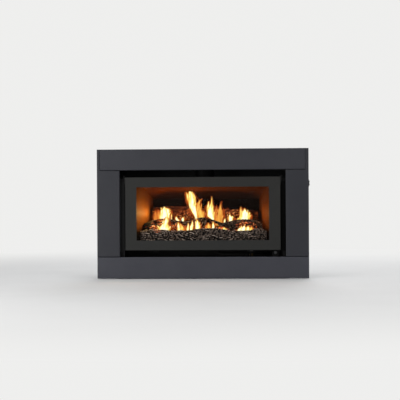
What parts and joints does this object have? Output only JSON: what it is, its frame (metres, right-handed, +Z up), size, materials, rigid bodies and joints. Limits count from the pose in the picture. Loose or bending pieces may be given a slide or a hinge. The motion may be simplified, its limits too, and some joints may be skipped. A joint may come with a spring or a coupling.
{
  "type": "fireplace insert",
  "caption": "Gas fireplace insert with a flat charcoal fascia, a tilting glass window, ceramic logs on a burner, a coaxial flue outlet and a fan.",
  "frame": {"origin": "centre of the casing's underside", "axes": "+Z up, the fascia faces -Y, +X to the viewer's right"},
  "size_m": [1.0615, 0.405, 0.647],
  "materials": {
    "fascia_charcoal": "satin charcoal powder coat",
    "frame_charcoal": "matt charcoal stove paint",
    "casing_black": "matt black",
    "casing_zinc": "zinc-coated sheet",
    "firebox_steel": "matt black heat paint",
    "liner_enamel": "enamelled liner panel",
    "ceramic_log": "cast ceramic bark",
    "ember": "glowing ember chips",
    "clear_glass": "clear ceramic glass",
    "rope": "woven glass-fibre seal",
    "bright_steel": "bright steel",
    "brass": "turned brass",
    "cast_alloy": "cast alloy",
    "black_plastic": "black moulded plastic",
    "white_ceramic": "white insulator"
  },
  "bodies": {
    "root": {"fascia_top": "fascia_charcoal", "fascia_left": "fascia_charcoal", "fascia_right": "fascia_charcoal", "fascia_brackets": "bright_steel", "casing_base": "casing_zinc", "casing_left": "casing_black", "casing_right": "casing_black", "casing_back": "casing_zinc", "casing_top": "casing_zinc", "firebox_front": "firebox_steel", "firebox_left": "firebox_steel", "firebox_right": "firebox_steel", "firebox_back": "firebox_steel", "firebox_floor": "firebox_steel", "firebox_roof": "firebox_steel", "liner_left": "liner_enamel", "liner_right": "liner_enamel", "liner_back": "firebox_steel", "baffle": "liner_enamel", "window_seal": "rope", "flue_inner": "bright_steel", "flue_outer": "casing_zinc", "burner_tray": "firebox_steel", "burner_tube": "bright_steel", "injector": "brass", "pilot_burner": "bright_steel", "spark_electrode": "white_ceramic", "flame_sensor": "bright_steel", "front_log": "ceramic_log", "middle_log": "ceramic_log", "forked_log": "ceramic_log", "rear_log": "ceramic_log", "log_grate": "firebox_steel", "ember_bed": "ember", "control_plate": "casing_zinc", "gas_valve": "cast_alloy", "igniter_body": "black_plastic", "burner_pipe": "cast_alloy", "pilot_pipe": "cast_alloy", "gas_inlet": "brass", "fan_housing": "casing_zinc", "fan_bearings": "bright_steel", "fan_motor": "bright_steel", "control_box": "black_plastic", "switch_body": "black_plastic", "hinge_brackets": "casing_black", "spring_clips": "bright_steel"},
    "window": {"window_frame": "frame_charcoal", "window_glass": "clear_glass", "glass_gasket": "rope", "glass_clips": "bright_steel", "hinge_pins": "bright_steel", "catch_studs": "bright_steel"},
    "lower_panel": {"fascia_bottom": "fascia_charcoal", "panel_studs": "bright_steel"},
    "switch_rocker": {"rocker": "black_plastic"},
    "valve_knob": {"control_knob": "black_plastic"},
    "ignition_button": {"igniter_button": "black_plastic"},
    "shutter": {"air_shutter": "bright_steel"},
    "fan": {"fan_impeller": "cast_alloy"}
  },
  "joints": [
    {"name": "window_tilt", "type": "hinge", "parent": "root", "child": "window", "pos_m": [0, -0.189, 0.51], "axis": [-1, 0, 0], "range_deg": [0, 40]},
    {"name": "panel_pull", "type": "slide", "parent": "root", "child": "lower_panel", "axis": [0, -1, 0], "range_m": [0, 0.05]},
    {"name": "switch_rock", "type": "hinge", "parent": "root", "child": "switch_rocker", "pos_m": [0.524, -0.2015, 0.473], "axis": [0, 1, 0], "range_deg": [-8, 8]},
    {"name": "knob_turn", "type": "hinge", "parent": "root", "child": "valve_knob", "pos_m": [0.3, -0.18, 0.07], "axis": [0, -1, 0], "range_deg": [0, 180]},
    {"name": "igniter_press", "type": "slide", "parent": "root", "child": "ignition_button", "axis": [0, 1, 0], "range_m": [0, 0.004], "stiffness_N_per_m": 300},
    {"name": "shutter_turn", "type": "hinge", "parent": "root", "child": "shutter", "pos_m": [0.214, -0.008, 0.11], "axis": [1, 0, 0], "range_deg": [0, 60]},
    {"name": "fan_spin", "type": "hinge", "parent": "root", "child": "fan", "pos_m": [0, 0.14, 0.052], "axis": [1, 0, 0], "continuous": true}
  ]
}
